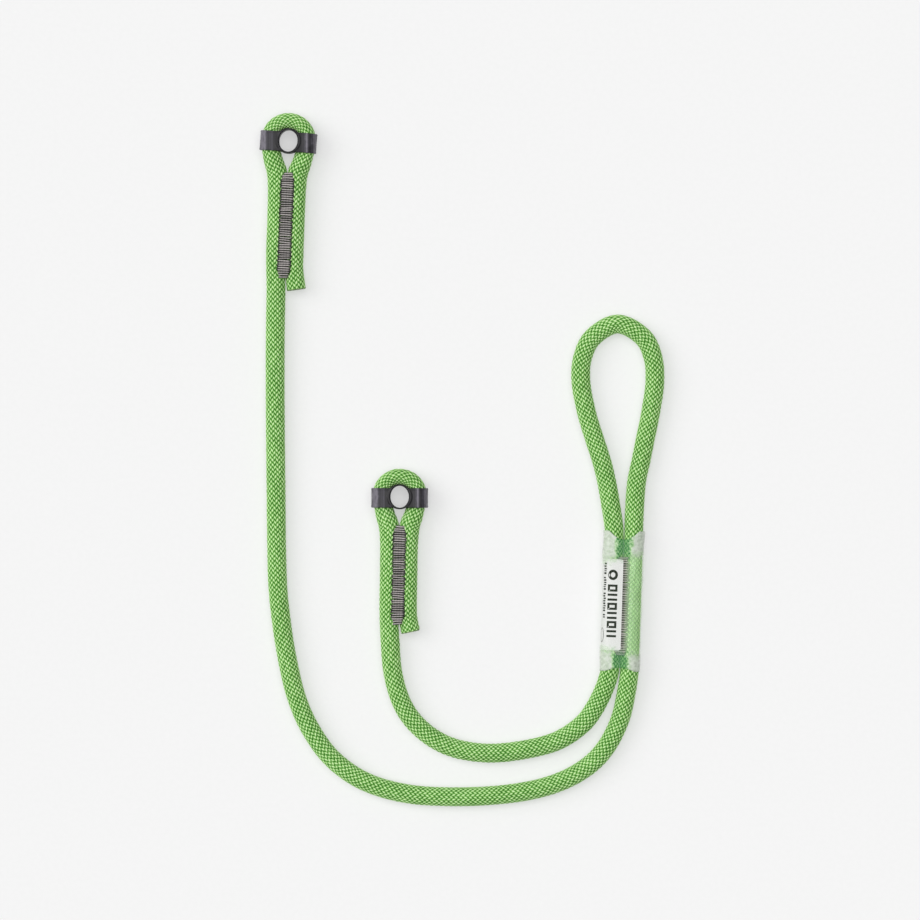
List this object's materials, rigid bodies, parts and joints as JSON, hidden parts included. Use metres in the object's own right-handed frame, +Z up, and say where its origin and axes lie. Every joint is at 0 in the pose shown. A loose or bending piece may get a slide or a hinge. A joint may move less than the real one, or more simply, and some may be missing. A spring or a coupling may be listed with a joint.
{
  "type": "double rope lanyard",
  "caption": "Green rope lanyard laid flat: a tether loop sewn under a clear sleeve, and a long and a short arm that each end in a sewn eye with a moulded rubber connector retainer.",
  "frame": {"origin": "middle of the underside of the whole lanyard as it lies flat", "axes": "+Z up off the surface it lies on, +Y along the long arm towards its eye, +X towards the tether loop's side"},
  "size_m": [0.2176, 0.3718, 0.0151],
  "materials": {
    "rope_sheath": "braided polyamide rope sheath, bright green",
    "rope_core": "twisted off-white polyamide strands",
    "thread": "grey bar stitching",
    "rubber": "satin black moulded rubber",
    "clear_plastic": "clear heat-shrunk sleeve, milky at its ends",
    "label": "white printed fabric label"
  },
  "bodies": {
    "centre": {"centre_left_sheath": "rope_sheath", "centre_left_core": "rope_core", "centre_right_sheath": "rope_sheath", "centre_right_core": "rope_core", "centre_stitching": "thread", "clear_sleeve": "clear_plastic", "label": "label"},
    "tether_loop": {"tether_loop_sheath": "rope_sheath", "tether_loop_core": "rope_core"},
    "long_arm_lower": {"long_arm_lower_sheath": "rope_sheath", "long_arm_lower_core": "rope_core"},
    "long_arm_upper": {"long_arm_upper_sheath": "rope_sheath", "long_arm_upper_core": "rope_core"},
    "long_eye": {"long_eye_sheath": "rope_sheath", "long_eye_core": "rope_core", "long_eye_stitching": "thread", "long_retainer": "rubber"},
    "short_arm": {"short_arm_sheath": "rope_sheath", "short_arm_core": "rope_core"},
    "short_eye": {"short_eye_sheath": "rope_sheath", "short_eye_core": "rope_core", "short_eye_stitching": "thread", "short_retainer": "rubber"}
  },
  "joints": [
    {"name": "tether_loop_fold", "type": "hinge", "parent": "centre", "child": "tether_loop", "pos_m": [0.08565, -0.0109, 0.00505], "axis": [1, 0, 0], "range_deg": [0, 35]},
    {"name": "long_arm_swing", "type": "hinge", "parent": "centre", "child": "long_arm_lower", "pos_m": [0.084, -0.1399, 0.00505], "axis": [0, 0, 1], "range_deg": [-4, 30]},
    {"name": "long_arm_bend", "type": "hinge", "parent": "long_arm_lower", "child": "long_arm_upper", "pos_m": [-0.0998, -0.045, 0.00505], "axis": [0, 0, 1], "range_deg": [-25, 25]},
    {"name": "long_eye_swing", "type": "hinge", "parent": "long_arm_upper", "child": "long_eye", "pos_m": [-0.1008, 0.066, 0.0054], "axis": [0, 0, 1], "range_deg": [-30, 30]},
    {"name": "short_arm_swing", "type": "hinge", "parent": "centre", "child": "short_arm", "pos_m": [0.071, -0.1325, 0.00505], "axis": [0, 0, 1], "range_deg": [-20, 2]},
    {"name": "short_eye_swing", "type": "hinge", "parent": "short_arm", "child": "short_eye", "pos_m": [-0.0367, -0.1175, 0.0054], "axis": [0, 0, 1], "range_deg": [-20, 15]}
  ]
}
